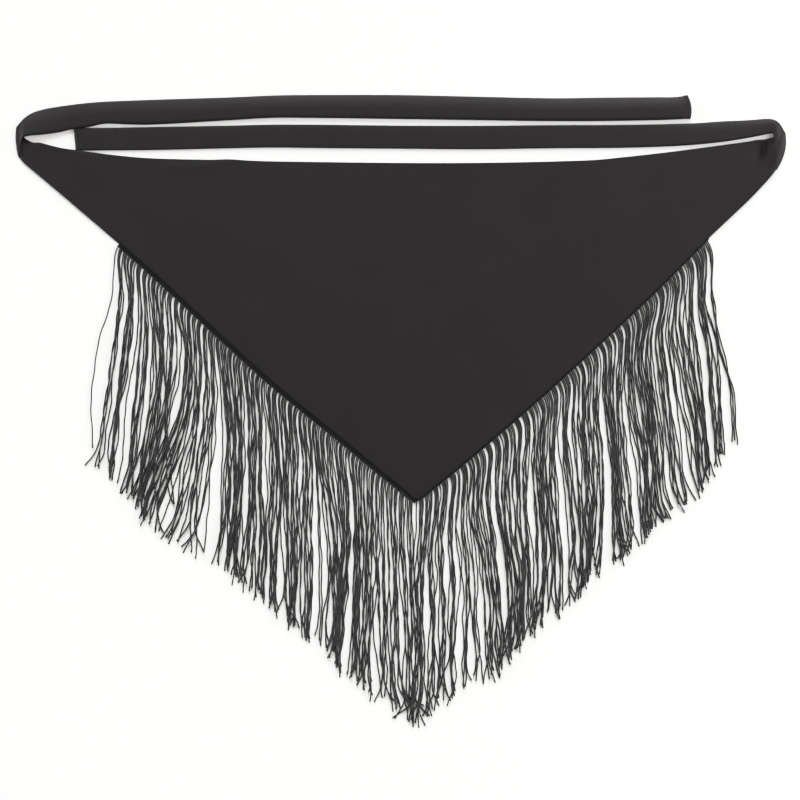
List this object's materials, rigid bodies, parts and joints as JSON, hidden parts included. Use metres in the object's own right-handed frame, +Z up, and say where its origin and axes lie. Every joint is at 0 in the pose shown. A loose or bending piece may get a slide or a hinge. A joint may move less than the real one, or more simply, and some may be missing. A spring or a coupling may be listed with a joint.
{
  "type": "fringe hip scarf laid flat",
  "caption": "Triangular hip scarf laid flat, with a long cord fringe on its two lower edges and a flat tie at each upper corner.",
  "frame": {"origin": "on the table, under the middle of the scarf's bounding box", "axes": "+X along the waist edge from the left corner to the right corner as pictured, +Y away from the fringe, +Z up off the table"},
  "size_m": [0.8458, 0.6943, 0.0049],
  "materials": {
    "cloth": "soft black satin-backed crepe",
    "fringe_cord": "black twisted rayon cord"
  },
  "bodies": {
    "root": {"panel": "cloth", "tie_left": "cloth", "tie_right": "cloth", "fringe_left": "fringe_cord", "fringe_right": "fringe_cord"}
  },
  "joints": []
}
